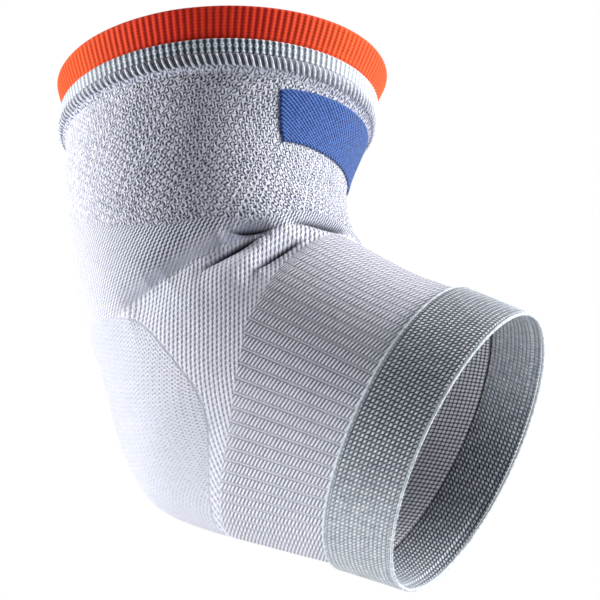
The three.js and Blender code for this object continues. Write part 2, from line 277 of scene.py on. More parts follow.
def tube_shell(name, grid, turn, along, values=None, normals=None):
    """A grid of rows and columns that closes both ways; the UV map gets each corner's turn and length."""
    rows, columns = grid.shape[:2]
    j, i = np.meshgrid(np.arange(rows), np.arange(columns), indexing="ij")
    j2, i2 = (j + 1) % rows, (i + 1) % columns
    corners = [(j, i), (j2, i), (j2, i2), (j, i2)]
    quads = np.stack([a * columns + b for a, b in corners], axis=-1).reshape(-1, 4)
    turns = np.append(turn, 1.0)
    u = np.stack([turns[i], turns[i], turns[i + 1], turns[i + 1]], axis=-1)
    v = np.stack([along[a, b] for a, b in corners], axis=-1)
    uv = np.stack([u, v], axis=-1)
    return make_piece(name, grid.reshape(-1, 3), [quads], uv, values, normals)


def grid_normals(grid):
    """Unit vectors across both directions of a grid that closes round its columns."""
    down = np.gradient(grid, axis=0)
    round_ = np.roll(grid, -1, axis=1) - np.roll(grid, 1, axis=1)
    normal = np.cross(down, round_)
    return normal / np.linalg.norm(normal, axis=-1, keepdims=True)


def finish_piece(piece, node, material):
    """Gives the piece its material, hangs it on the root body and hides the frame's part that it replaces."""
    piece.data.materials.append(material)
    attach(piece, "root")
    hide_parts(node)
    return piece


# %% [markdown]
# ## One arithmetic for shapes and shaders
#
# A stitch pattern is needed twice: as relief in the mesh and as colour in the material. Written with plain
# operators it can serve both. Numpy arrays know them already, and a small class gives the same operators to
# a shader's sockets, so that `0.5 + 0.5 * cosine(x)` works on either.

# %% Values and node trees
YARN_FUZZ = 2600.0
CLOTH_ROUGHNESS = 0.85


class Value:
    """A number socket of a node tree. Arithmetic on it adds Math nodes to the tree."""

    def __init__(self, paint, socket):
        self.paint = paint
        self.socket = socket

    def math(self, operation, *others, first=None, clamp=False):
        """A Math node on this value, or on `first` with this value after it."""
        numbers = [self, *others] if first is None else [first, self]
        settings = {"operation": operation, "use_clamp": clamp}
        made = self.paint.node("ShaderNodeMath", settings, dict(enumerate(numbers)))
        return Value(self.paint, made.outputs[0])

    def __add__(self, other):
        return self.math("ADD", other)

    def __sub__(self, other):
        return self.math("SUBTRACT", other)

    def __mul__(self, other):
        return self.math("MULTIPLY", other)

    def __truediv__(self, other):
        return self.math("DIVIDE", other)

    def __rsub__(self, other):
        return self.math("SUBTRACT", first=other)

    __radd__ = __add__
    __rmul__ = __mul__


class Paint:
    """The node tree of one material, from its coordinates to its shader, or the tree of a given owner."""

    def __init__(self, name, owner=None):
        self.owner = owner or bpy.data.materials.new(name)
        self.owner.use_nodes = True
        self.tree = self.owner.node_tree
        self.tree.nodes.clear()

    def node(self, kind, settings=None, sockets=None):
        """Adds a node: its settings first, then a value or a link for each named or numbered socket."""
        made = self.tree.nodes.new(kind)
        for key, value in (settings or {}).items():
            setattr(made, key, value)
        for key, value in (sockets or {}).items():
            source = value.socket if isinstance(value, Value) else value
            if isinstance(source, bpy.types.NodeSocket):
                self.tree.links.new(source, made.inputs[key])
            else:
                made.inputs[key].default_value = source
        return made

    def uv(self):
        """The turn's share and the length along the surface, from the piece's own UV map."""
        place = self.node("ShaderNodeUVMap", {"uv_map": "knit"}).outputs[0]
        parts = self.node("ShaderNodeSeparateXYZ", None, {0: place})
        return Value(self, parts.outputs[0]), Value(self, parts.outputs[1])

    def attribute(self, name):
        """A value that the mesh keeps for each point."""
        return Value(self, self.node("ShaderNodeAttribute", {"attribute_name": name}).outputs["Fac"])

    def noise(self, scale, detail=2.0):
        """Smooth random values in the piece's own space, with `scale` bumps to the metre."""
        place = self.node("ShaderNodeTexCoord").outputs["Object"]
        made = self.node("ShaderNodeTexNoise", None, {"Vector": place, "Scale": scale, "Detail": detail})
        return Value(self, made.outputs[0])

    def fuzz(self, scale=YARN_FUZZ):
        """The fine unevenness of yarn."""
        return self.noise(scale, 3.0)

    def mix(self, factor, first, second):
        """A colour between two others."""
        made = self.node("ShaderNodeMix", {"data_type": "RGBA"}, {0: factor, 6: first, 7: second})
        return made.outputs[2]

    def cloth(self, shade, height, bump_depth, sheen=0.25):
        """A matt shader with a little sheen, and a bump of the given depth in millimetres."""
        bump = self.node("ShaderNodeBump", None, {
            "Height": height, "Distance": bump_depth * MM, "Strength": 1.0,
        })
        shader = self.node("ShaderNodeBsdfPrincipled", None, {
            "Base Color": shade, "Roughness": CLOTH_ROUGHNESS, "Sheen Weight": sheen,
            "Sheen Roughness": 0.5, "Specular IOR Level": 0.25, "Normal": bump.outputs[0],
        })
        self.node("ShaderNodeOutputMaterial", None, {"Surface": shader.outputs[0]})
        return self.owner


def colour(red, green, blue):
    """Linear light from three display values of 0 to 255."""
    display = np.array([red, green, blue]) / 255.0
    linear = np.where(display <= 0.04045, display / 12.92, ((display + 0.055) / 1.055) ** 2.4)
    return (*linear.tolist(), 1.0)


# %% Small functions for numbers and sockets alike
# The share of the turn that faces the viewer: one of the arm's flat sides
FLANK_TURN = 0.775


def cosine(x):
    """Cosine of an array or of a shader value."""
    return x.math("COSINE") if isinstance(x, Value) else np.cos(x)


def fraction(x):
    """What is left of x after the whole number below it."""
    return x.math("FRACT") if isinstance(x, Value) else x - np.floor(x)


def size_of(x):
    """The value without its sign."""
    return x.math("ABSOLUTE") if isinstance(x, Value) else np.abs(x)


def larger(x, y):
    """The larger of two values."""
    return x.math("MAXIMUM", y) if isinstance(x, Value) else np.maximum(x, y)


def ramp(x, start, end):
    """0 at start, 1 at end, straight between them and level outside."""
    share = (x - start) * (1.0 / (end - start))
    return share.math("ADD", 0.0, clamp=True) if isinstance(x, Value) else np.clip(share, 0, 1)


def wave(x):
    """1 at whole numbers and 0 half way between them."""
    return 0.5 + 0.5 * cosine(x * TAU)


def flank_shade(turn, start, end):
    """Painted shade: 1 on both flat sides of the arm, between the two side lights, 0 over the tip and the
    crook.
    """
    return ramp(size_of(cosine((turn - FLANK_TURN) * TAU)), start, end)


print("wave at 0, 1/4 and 1/2:", wave(np.array([0, 0.25, 0.5])).round(2))

# %% [markdown]
# ## The knits of the sleeve
#
# The sleeve has five knits: a lattice of satin stitches on the upper arm, slanted floats above the elbow, a
# soft padded cup on the elbow tip, fine ribs beside it, and a ladder of long rows on the forearm. Real yarns
# would be millions of faces, and a picture would be pulled askew at the folds, so each knit is a formula. It
# says how deep the gap between the yarns is at a place, from 0 on the yarn to 1 in the hole. The knits meet
# along lines that are given as short tables of an angle and a station.

# %% Knit patterns
STITCHES_ROUND = 230
STITCH_PITCH = 1.25
SATIN_RISE = 60
SLANT_LINES = 238
SLANT_RISE = 0.74
SLANT_BEAD = 1.15
CUP_TURN = np.radians(78)
CUP_STITCH = 1.1
CUP_RADIUS = 52.0
RIB_PITCH = 1.27
RIB_BEAD = 1.5
LADDER_ROWS = 78
DASH_PITCH = 1.13
DASH_LEAN = 0.8
LINING_ROWS = 200
LINING_LOOP = 1.3


def satin(column, row):
    """Waves of a satin repeat: every fifth stitch of a row is left out, two further in each next row.

    The first two waves are the rows and columns of stitches, the others have the repeat of five.
    """
    first = (row * 2.0 + column) / 5.0
    second = (column * 2.0 - row) / 5.0
    waves = (
        (0.16, row), (0.24, column), (0.12, first), (0.12, first + second),
        (0.12, first * 2.0 + second), (0.24, second * 3.0),
    )
    return sum(strength * cosine(place * TAU) for strength, place in waves)


def lattice_gap(turn, along):
    """The satin on the upper arm: its rows rise round the arm by SATIN_RISE stitches a turn.

    Slow waves move each stitch by up to a third of its size, so that the rows aren't quite even.
    """
    column = turn * STITCHES_ROUND
    row = turn * SATIN_RISE - along / STITCH_PITCH
    sideways = cosine((row * 0.41 + column * 0.13) * TAU) * 0.26
    upward = cosine((column * 0.33 - row * 0.16) * TAU) * 0.3
    return ramp(satin(column + sideways, row + upward), -0.2, 0.3)


def slant_gap(turn, down):
    """Steep diagonals above the elbow, beaded along their length."""
    line = turn * SLANT_LINES + down * SLANT_RISE
    beads = wave(down / SLANT_BEAD + 0.5 * line)
    return ramp(0.6 * wave(line) + 0.4 * beads, 0.46, 0.64)


def cup_gap(turn, along):
    """Rows and columns of small holes, turned by CUP_TURN, as the cup is knitted across the sleeve."""
    p = (turn - 0.5) * (TAU * CUP_RADIUS / CUP_STITCH)
    q = along / CUP_STITCH
    c, s = float(np.cos(CUP_TURN)), float(np.sin(CUP_TURN))
    column = p * c + q * s
    row = p * s - q * c
    holes = 0.42 * cosine(column * TAU) + 0.38 * cosine(row * TAU)
    slow = 0.2 * cosine((column * 0.6 - row * 0.4) * TAU)
    return ramp(holes + slow, 0.1, 0.75) * 0.62


def rib_gap(rib, bead):
    """Upright ribs with a groove between them, and beads along each rib."""
    groove = wave(rib / RIB_PITCH)
    beads = wave(bead / RIB_BEAD + 0.5 * rib / RIB_PITCH)
    return ramp(0.6 * groove + 0.4 * beads, 0.46, 0.85) * 0.6


def ladder_gap(turn, ring):
    """Long rows of slanted dashes, with two dark lines and a thin light one between the rows."""
    across = fraction(turn * LADDER_ROWS)
    middle = size_of(across - 0.5)
    line = ramp(size_of(middle - 0.41), 0.07, 0.03)
    slanted = wave(ring / DASH_PITCH - DASH_LEAN * across)
    slits = 0.84 * ramp(slanted, 0.57, 0.78) * ramp(middle, 0.42, 0.36)
    return larger(line * 0.5, slits)


def knit_gap(turn, along, ring, rib, bead, zone):
    """Each knit's gap times its share of the place, and a thin groove where the cup's edge is."""
    rest = 1.0 - (zone["lattice"] + zone["rib"] + zone["cup"] + zone["ladder"])
    edge = zone["cup"] * (1.0 - zone["cup"]) * 4.0
    gaps = (
        zone["lattice"] * lattice_gap(turn, along)
        + rest * slant_gap(turn, bead)
        + zone["rib"] * rib_gap(rib, bead)
        + zone["cup"] * cup_gap(turn, along)
        + zone["ladder"] * ladder_gap(turn, ring)
    )
    # Times the painted gap shade round the arm, which leaves the gaps lighter over the tip of the elbow
    return larger(gaps, edge * 0.4) * (1.0 - 0.85 * zone["smooth"]) * zone["gap_shade"]


def knit_relief(turn, along, rib, zone):
    """The coarse part of the patterns, which the mesh is fine enough for: dimples, valleys and grooves."""
    column = turn * STITCHES_ROUND
    row = turn * SATIN_RISE - along / STITCH_PITCH
    dimples = wave((row * 2 + column) / 5) * wave((column * 2 - row) / 5)
    grooves = ramp(size_of(fraction(turn * LADDER_ROWS) - 0.5), 0.3, 0.45)
    valleys = wave(rib / RIB_PITCH)
    return zone["lattice"] * 0.4 * dimples + zone["rib"] * 0.5 * valleys + zone["ladder"] * 0.4 * grooves


print(STITCHES_ROUND, "stitches and", LADDER_ROWS, "rows of the ladder round the arm")

# %% Where the knits meet
# Each row of these edges is an angle in degrees, from tip to crook, and a station
LADDER_EDGE = np.array([
    (180, 1.13), (202, 1.13), (214, 1.127), (225, 1.12), (238, 1.09), (251, 1.04), (261, 0.997),
    (265, 0.97), (277, 0.955), (289, 0.923), (304, 0.89), (321, 0.87), (360, 0.86),
])
LATTICE_EDGE = np.array([
    (180, -0.08), (205, -0.04), (236, 0.09), (251, 0.15), (264, 0.2), (276, 0.22), (287, 0.27),
    (298, 0.35), (312, 0.25), (338, 0.1), (360, 0.1),
])
RIB_TOP = np.array([
    (180, 0.42), (234, 0.43), (253, 0.443), (282, 0.457), (303, 0.47), (330, 0.5), (360, 0.7),
])
# The cup's middle as a station, and its reach round the arm in degrees and along it in stations
CUP_MIDDLE = 0.79
CUP_WIDTH = 63.5
CUP_ABOVE = 0.45
CUP_BELOW = 0.3
CUP_POWER = 2.5
# Millimetres in which one knit gives way to the next
ZONE_BLEND = 0.8
# A band of close cloth in the fold above the elbow, with its widths in millimetres above and below
SMOOTH_BAND = np.array([(234, 0.425), (262, 0.42), (280, 0.423), (297, 0.437)])
SMOOTH_WIDTH = 3.2
SMOOTH_EDGE = 1.0
# Painted shade in the gaps round the arm: least over the point of the elbow, which faces a side light
GAP_SHADE = np.array([
    (180, 0.3), (215, 0.38), (235, 0.65), (256, 1.0), (290, 1.0), (320, 0.9), (360, 0.8),
])
# From so many millimetres below the camera's target the ribs bend forward, by the square times the second
RIB_BOTTOM = 15.0
RIB_CURVE = 0.0063


def surface_length(station, lengths, stations):
    """Surface length at one station for each column, straight between two rows."""
    j = np.clip(np.searchsorted(stations, station) - 1, 0, len(stations) - 2)
    t = (station - stations[j]) / (stations[j + 1] - stations[j])
    i = np.arange(lengths.shape[1])
    return lengths[j, i] * (1 - t) + lengths[j + 1, i] * t


def knit_zones(angle, stations, lengths, points):
    """Shares of the knits on a grid of points, and the coordinates that the ribs and the ladder follow.

    Both sides of the arm are alike, so angles are folded over the crook. The cup's edge is where the powers
    of its two shares sum to 1. The ribs hang like folds of cloth: seen from the side they run straight down,
    and swing forward under the elbow by a square of the depth.
    """
    side = 180 + np.abs((np.degrees(angle) % 360) - 180)

    def length_at(edge):
        """Surface length of an edge for each column."""
        return surface_length(curve_through(side, edge[:, 0], edge[:, 1]), lengths, stations)

    past_ladder = length_at(LADDER_EDGE) - lengths
    ladder = ramp(past_ladder, 0.5 * ZONE_BLEND, -0.5 * ZONE_BLEND)
    lattice = ramp(lengths - length_at(LATTICE_EDGE), 0.5 * ZONE_BLEND, -0.5 * ZONE_BLEND)
    wide = np.abs(side - 180) / CUP_WIDTH
    drop = stations[:, None] - CUP_MIDDLE
    high = np.where(drop < 0, -drop / CUP_ABOVE, drop / CUP_BELOW)
    reach = (wide**CUP_POWER + high**CUP_POWER) ** (1 / CUP_POWER)
    cup = ramp((reach - 1) * CUP_RADIUS, 0.5 * ZONE_BLEND, -0.5 * ZONE_BLEND) * (1 - ladder)
    below = ramp(lengths - length_at(RIB_TOP), -0.5 * ZONE_BLEND, 0.5 * ZONE_BLEND)
    ribs = below * (1 - ladder) * (1 - cup)
    flat = points * [1, 0, 1] - np.abs(points) * [0, 1, 0]
    across = flat @ view_right
    down = -(flat - CAMERA_TARGET) @ view_up
    rib = across - RIB_CURVE * np.maximum(down - RIB_BOTTOM, 0) ** 2
    band_start, band_end = SMOOTH_BAND[0, 0], SMOOTH_BAND[-1, 0]
    ends = ramp(side, band_start - 8, band_start + 8) * ramp(side, band_end + 8, band_end - 4)
    below_band = lengths - length_at(SMOOTH_BAND)
    width = np.where(below_band < 0, SMOOTH_WIDTH, SMOOTH_EDGE)
    smooth = np.exp(-((below_band / width) ** 2)) * ends
    # Painted gap shade: lightest over the tip, where a side light falls, and most of it on the forearm
    forearm = 0.9 * ramp(stations[:, None], 0.9, 1.2)
    gap_shade_round = np.maximum(curve_through(side, GAP_SHADE[:, 0], GAP_SHADE[:, 1]), forearm)
    ring = lengths.mean(axis=1, keepdims=True) + np.zeros_like(lengths)
    return {
        "lattice": lattice, "rib": ribs, "cup": cup, "ladder": ladder, "smooth": smooth, "gap_shade": gap_shade_round,
        "rib_place": rib, "bead_place": down, "ring_place": ring,
    }


print("the cup reaches", CUP_WIDTH, "degrees to each side of the tip")

# %% [markdown]
# ## The sleeve
#
# The knitted tube could be one mesh, but fine stitches need small faces, so it is made in three lengths
# that meet edge to edge and share their normals: upper arm, elbow and forearm. The outside has a row of
# points every half millimetre or so. The inside, which only shows in the two openings, has fewer rows.

# %% Sleeve material
def sleeve_material():
    """Bright yarn, gaps painted dark as shade where the gap formula says, painted crease shadows, inside pale
    loops on grey.
    """
    paint = Paint("knit")
    turn, along = paint.uv()
    zone = {name: paint.attribute(name) for name in ("lattice", "rib", "cup", "ladder", "smooth", "gap_shade")}
    places = [paint.attribute(name) for name in ("ring_place", "rib_place", "bead_place")]
    gap = knit_gap(turn, along, *places, zone)
    fuzz = paint.fuzz()
    cloud = paint.noise(60.0)
    loose = paint.noise(520.0, 2.0)
    uneven = (fuzz - 0.5) * 0.7 + (loose - 0.5) * (0.25 + 0.75 * zone["lattice"])
    depth = ramp(gap + uneven, 0.0, 1.0)
    yarn = paint.mix(cloud, colour(226, 228, 243), colour(241, 242, 251))
    # The cup's yarn is greyer where the painted gap shade is least
    cup_grey = zone["cup"] * (1.0 - zone["gap_shade"])
    yarn = paint.mix(cup_grey, yarn, colour(196, 198, 212))
    # Painted shade in the holes between the yarns, darker in the ladder's slits
    ground = paint.mix(zone["ladder"], colour(66, 72, 102), colour(42, 46, 68))
    gapped = paint.mix(depth, yarn, ground)
    loops = wave(turn * LINING_ROWS + 0.2 * places[0]) * wave(places[0] / LINING_LOOP)
    lining = paint.mix(ramp(loops, 0.02, 0.22), colour(80, 84, 104), colour(246, 247, 251))
    faced = paint.mix(paint.attribute("lining"), gapped, lining)
    # Painted soft shadow beside the creases and in the fold above the elbow
    painted_soft_shadow = paint.mix(paint.attribute("painted_soft_shadow"), faced, colour(118, 122, 148))
    # Painted shadow in the creases, darker as they deepen
    crease_shadowed = paint.mix(paint.attribute("crease"), painted_soft_shadow, colour(30, 32, 48))
    return paint.cloth(crease_shadowed, fuzz * 0.4 - gap, 0.6)


knit = sleeve_material()
print("the knit's material has", len(knit.node_tree.nodes), "nodes")

# %% Sleeve meshes
SLEEVE_COLUMNS = 640
# The station where each length ends, or None for the sleeve's foot, and its rows of points
SLEEVE_CUTS = {"sleeve_upper": (0.33, 118), "sleeve_elbow": (1.14, 130), "sleeve_forearm": (None, 80)}
INNER_STEP = 8
# Depth of the stitches in millimetres, and the share of it that stands above the plain wall
RELIEF = 0.3
RELIEF_ABOVE = 0.35
# Width in millimetres of the painted soft shadow beside a crease, and the depth at which a crease's painted
# shadow is quite dark
SOFT_SHADOW = 2.8
CREASE_DARK = 1.2
# Sharp creases, as three points of (angle in degrees, station), a depth and a width in millimetres
CREASES = {
    "under the upper knit": ((285, 0.365), (294, 0.403), (304, 0.463), 1.3, 0.55),
    "long": ((269, 0.53), (286, 0.52), (298, 0.488), 1.6, 0.6),
    "over the ladder": ((282, 0.775), (297, 0.752), (314, 0.763), 1.5, 0.6),
    "crook": ((312, 0.445), (330, 0.43), (346, 0.62), 1.3, 0.6),
    "far long": ((91, 0.53), (74, 0.52), (62, 0.488), 1.5, 0.6),
}


def crease_lines(points):
    """Narrow grooves along short curves: depth * exp(-(distance / width) squared), fading at both ends.

    Gives the depth in millimetres, the share of painted shadow in it and that of the softer painted shadow
    beside it.
    """
    depth = np.zeros(points.shape[:-1])
    soft = np.zeros(points.shape[:-1])
    share = np.linspace(0, 1, 2 * FOLD_STEPS + 1)[:, None]
    for start, by, end, deep, wide in CREASES.values():
        start, by, end = (np.array(p, float) for p in (start, by, end))
        line = (1 - share) ** 2 * start + 2 * share * (1 - share) * by + share**2 * end
        path = tube_point(np.radians(line[:, 0]), line[:, 1])
        for i in range(len(path) - 1):
            step = path[i + 1] - path[i]
            t = np.clip((points - path[i]) @ step / (step @ step), 0, 1)
            distance = np.linalg.norm(points - path[i] - t[..., None] * step, axis=-1)
            fade = np.sin(np.pi * (i + t) / (len(path) - 1)) ** 0.6
            depth = np.maximum(depth, deep * fade * np.exp(-((distance / wide) ** 2)))
            soft = np.maximum(soft, fade * np.exp(-((distance / SOFT_SHADOW) ** 2)))
    return depth, np.clip(depth / CREASE_DARK, 0, 1), soft


sleeve_turn = np.arange(SLEEVE_COLUMNS) / SLEEVE_COLUMNS
sleeve_angle = sleeve_turn * TAU
sleeve_top = upper_station(SEAM_TOP - GAP)
sleeve_foot = forearm_station(CUFF_START + CUFF_OVERLAP)
stops = [sleeve_top] + [sleeve_foot if stop is None else stop for stop, _ in SLEEVE_CUTS.values()]
parts = [
    np.linspace(start, stop, rows)[:-1]
    for start, stop, (_, rows) in zip(stops, stops[1:], SLEEVE_CUTS.values())
]
sleeve_stations = np.concatenate([*parts, [sleeve_foot]])
plain = tube_point(sleeve_angle[None, :], sleeve_stations[:, None])
steps = np.linalg.norm(np.diff(plain, axis=0), axis=-1)
lengths = np.concatenate([np.zeros((1, SLEEVE_COLUMNS)), np.cumsum(steps, axis=0)])
lengths = lengths - lengths[np.searchsorted(sleeve_stations, 0.0)]
folds = fold_depth(plain)
grooves, shadow, soft_shadow = crease_lines(plain)
zones = knit_zones(sleeve_angle, sleeve_stations, lengths, plain)
# The share of painted shadow in the creases
zones["crease"] = shadow
# Painted soft shadow: beside the creases, and over the smooth band in the fold above the elbow
zones["painted_soft_shadow"] = np.clip(0.4 * soft_shadow + 0.6 * zones["smooth"], 0, 1)
relief = RELIEF * knit_relief(sleeve_turn[None, :], lengths, zones["rib_place"], zones)
raised = RELIEF_ABOVE * RELIEF - folds - grooves - relief
outside = tube_point(sleeve_angle[None, :], sleeve_stations[:, None], raised)
inside = tube_point(sleeve_angle[None, :], sleeve_stations[:, None], -KNIT_WALL - folds)
outside_normals = grid_normals(outside)
inside_normals = -grid_normals(inside)
print(f"sleeve: {len(sleeve_stations)} rows, deepest fold {folds.max():.1f} mm")

# %% Sleeve pieces
def sleeve_piece(name, top, rows):
    """One length of the sleeve: its outer rows going down, then its inner rows coming back up."""
    out_rows = np.arange(top, top + rows)
    in_rows = np.unique(np.append(out_rows[::INNER_STEP], out_rows[-1]))[::-1]

    def both(outer, inner):
        """The outer rows of one grid, then the inner rows of another."""
        return np.concatenate([outer[out_rows], inner[in_rows]])

    values = {key: both(value, value) for key, value in zones.items()}
    values["lining"] = both(np.zeros_like(lengths), np.ones_like(lengths))
    normals = both(outside_normals, inside_normals)
    piece = tube_shell(name, both(outside, inside), sleeve_turn, both(lengths, lengths), values, normals)
    return finish_piece(piece, "sleeve", knit)


top = 0
for name, (_, rows) in SLEEVE_CUTS.items():
    sleeve_piece(name, top, rows)
    top += rows - 1

# %% [markdown]
# ## Rings round the tube
#
# Band, welt, seam and cuff are rings. A Screw modifier would need a round arm, so each is a short closed
# outline of a stand-off and a place along the arm, carried round the tube. A function divides the outline
# finely and adds a relief.

# %% Ring helper
def ring_piece(name, outline, station_of, columns, step, relief=None):
    """A ring from an outline that goes down the outside and up the inside, divided every `step` mm.

    `relief` gives a further stand-off from the turn, the place along the arm and 1 outside or 0 inside.
    """
    corners = np.array(outline + outline[:1], float)
    rows = []
    for a, b in zip(corners, corners[1:]):
        count = max(1, int(round(np.linalg.norm(b - a) / step)))
        rows.append(a + (b - a) * (np.arange(count) / count)[:, None])
    rows = np.concatenate(rows)
    middle = 0.5 * (corners[:, 0].max() + corners[:, 0].min())
    turn = np.arange(columns) / columns
    stand_off = rows[:, :1] + np.zeros((1, columns))
    along = rows[:, 1:] + np.zeros((1, columns))
    if relief:
        outer = ramp(rows[:, :1], middle - 0.1, middle + 0.1)
        stand_off = stand_off + relief(turn[None, :], along, outer)
    grid = tube_point(turn[None, :] * TAU, station_of(along), stand_off)
    return tube_shell(name, grid, turn, along)


# %% [markdown]
# ## The coloured band
#
# A rib knit in one bright colour, tucked behind the welt and flaring a little above it. The edge shows its
# ribs, so they are real grooves and not bump alone. The material darkens them with painted shade, paints the
# flat sides redder as shade between the side lights, and adds the small stitches that run across each rib.

# %% Band
RIBS_ROUND = 148
BAND_ROW = 0.9
BAND_UPRIGHT = 1.4


def rib_relief(depth):
    """Grooves between the ribs, `depth` mm deep, half that on the inside, and fading at the rim."""
    rim = UPPER_LENGTH + BAND_SHOWN

    def relief(turn, along, outer):
        """The grooves, and less flare towards the tip of the elbow."""
        grooves = depth * (0.5 + 0.5 * outer) * ramp(wave(turn * RIBS_ROUND), 0.7, 0.0)
        by_the_tip = ramp(cosine((turn - 0.54) * TAU), 0.3, 1.0)
        upright = BAND_UPRIGHT * by_the_tip * ramp(along, UPPER_LENGTH, rim)
        return -grooves * ramp(rim - along, 0.1, 1.6) - upright

    return relief


def band_material():
    """Orange yarn, painted redder as shade in grooves and on flat sides, with rows of stitches across the
    ribs.
    """
    paint = Paint("band_knit")
    turn, along = paint.uv()
    ribs = wave(turn * RIBS_ROUND)
    rows = wave(along / BAND_ROW + 0.25 * ribs)
    fuzz = paint.fuzz()
    raised = ramp(0.75 * ribs + 0.2 * rows + 0.5 * (fuzz - 0.5), 0.2, 0.9)
    # Painted shade: the flat sides redder, the tip and the crook, which face the side lights, orange
    side = flank_shade(turn, 0.6, 0.98)
    groove = paint.mix(side, colour(220, 66, 20), colour(172, 22, 14))
    ridge = paint.mix(side, colour(238, 98, 36), colour(238, 58, 26))
    height = 0.7 * ribs + 0.3 * rows + 0.2 * fuzz
    return paint.cloth(paint.mix(raised, groove, ridge), height, 0.18, sheen=0.1)


def band_outline():
    """The band's section, as in the frame: tucked behind the welt, then flaring to the rim."""
    tucked = WELT_PROUD - WELT_WALL - GAP
    rim = UPPER_LENGTH + BAND_SHOWN
    below_rim = rim - 0.3 * BAND_WALL
    half = UPPER_LENGTH + 0.52 * BAND_SHOWN
    foot = UPPER_LENGTH - BAND_TUCK

    def flare(share):
        """The stand-off at a share of the flare."""
        return tucked + (BAND_FLARE - tucked) * share

    return [
        [flare(0.94), rim], [flare(1), below_rim], [flare(0.62), half],
        [flare(0.2), UPPER_LENGTH + 0.1 * BAND_SHOWN], [tucked, UPPER_LENGTH], [tucked, foot],
        [tucked - BAND_WALL, foot], [tucked - BAND_WALL, UPPER_LENGTH],
        [flare(0.6) - BAND_WALL, half], [flare(0.94) - BAND_WALL, below_rim],
    ]


band = ring_piece("upper_band_knit", band_outline(), upper_station, 7 * RIBS_ROUND, 0.7, rib_relief(0.28))
finish_piece(band, "upper_band", band_material())

# %% [markdown]
# ## The welt
#
# The grey edge of the sleeve is turned over and shows as short upright strands with dark gaps between them,
# in two rows. As many ribs as the band has run through it, so the same wave makes them.

# %% Welt
def welt_material():
    """Light strands, gaps in two rows painted dark blue-green as shade on the flat sides, and a thin line
    between the rows.
    """
    paint = Paint("welt_knit")
    turn, along = paint.uv()
    height = (along - (UPPER_LENGTH - WELT_HEIGHT)) * (1.0 / WELT_HEIGHT)
    strands = wave(turn * RIBS_ROUND + 0.3 * height)
    rows = wave(height * 2.0)
    fuzz = paint.fuzz()
    gap = ramp(strands + 0.5 * (rows - 0.5) + 0.8 * (fuzz - 0.5), 0.85, 0.3)
    line = ramp(size_of(height - 0.5), 0.07, 0.02)
    # Painted shade in the gaps: dark on the flat sides, pale over the tip and the crook, which face the side
    # lights
    side = flank_shade(turn, 0.55, 0.95)
    dark = paint.mix(side, colour(196, 204, 213), colour(56, 72, 86))
    shade = paint.mix(larger(gap, line * 0.6), colour(224, 229, 237), dark)
    return paint.cloth(shade, strands + 0.3 * rows + 0.2 * fuzz, 0.22)


welt_foot = UPPER_LENGTH - WELT_HEIGHT
welt_outline = [
    [WELT_PROUD - 0.4 * WELT_WALL, UPPER_LENGTH], [WELT_PROUD, UPPER_LENGTH - 0.12 * WELT_HEIGHT],
    [WELT_PROUD, welt_foot], [WELT_PROUD - WELT_WALL, welt_foot], [WELT_PROUD - WELT_WALL, UPPER_LENGTH],
]


def welt_relief(turn, along, outer):
    """Upright strands that lean a little, with gaps between them on the outside."""
    height = (along - welt_foot) / WELT_HEIGHT
    return -0.2 * outer * ramp(wave(turn * RIBS_ROUND + 0.3 * height), 0.7, 0.0)


welt = ring_piece("upper_welt_knit", welt_outline, upper_station, 7 * RIBS_ROUND, 0.45, welt_relief)
finish_piece(welt, "upper_welt", welt_material())

# %% [markdown]
# ## The overlock seam
#
# An overlock machine binds the edge with slanted stitches over a padded ridge. Curves with a bevel could
# make them one by one. Here the ridge is a ring painted as shadow, and all stitches are made together, as one
# array of stitches, points and sides: each is a bent path on the ridge, carried as a thin tube.

# %% Threads
def thread_piece(name, paths, outward, radius, sides=6):
    """Thin tubes along many paths at once, each closed by a point at both ends.

    `paths` is an array of threads, points and coordinates. The section's two directions are the outward
    direction made square to the thread, and the cross product of both.
    """
    count, points = paths.shape[:2]
    tangent = np.gradient(paths, axis=1)
    tangent /= np.linalg.norm(tangent, axis=-1, keepdims=True)
    up = outward - np.sum(outward * tangent, axis=-1, keepdims=True) * tangent
    up /= np.linalg.norm(up, axis=-1, keepdims=True)
    across = np.cross(tangent, up)
    spin = np.arange(sides) * TAU / sides
    taper = np.sqrt(np.clip(1 - np.abs(np.linspace(-1, 1, points)) ** 6, 0.08, 1))[None, :, None, None]
    section = np.cos(spin)[:, None] * up[:, :, None] + np.sin(spin)[:, None] * across[:, :, None]
    rings = paths[:, :, None] + radius * taper * section
    first_end = paths[:, :1] - 0.3 * radius * tangent[:, :1]
    last_end = paths[:, -1:] + 0.3 * radius * tangent[:, -1:]
    body = np.concatenate([rings.reshape(count, -1, 3), first_end, last_end], axis=1)
    per = points * sides + 2
    j, i = np.meshgrid(np.arange(points - 1), np.arange(sides), indexing="ij")
    i2 = (i + 1) % sides
    here, after = j * sides, (j + 1) * sides
    quads = np.stack([here + i, here + i2, after + i2, after + i], -1).reshape(-1, 4)
    k = np.arange(sides)
    k2 = (k + 1) % sides
    last_ring = (points - 1) * sides
    first_cap = np.stack([np.full(sides, per - 2), k2, k], -1)
    last_cap = np.stack([np.full(sides, per - 1), last_ring + k, last_ring + k2], -1)
    caps = np.concatenate([first_cap, last_cap])
    shift = (np.arange(count) * per)[:, None, None]
    faces = [(f[None] + shift).reshape(-1, f.shape[1]) for f in (quads, caps)]
    return make_piece(name, body.reshape(-1, 3), faces)


# %% Seam
OVERLOCK_STITCHES = 148
STITCH_RADIUS = 0.42
STITCH_POINTS = 12
PLY_SCALE = 900.0


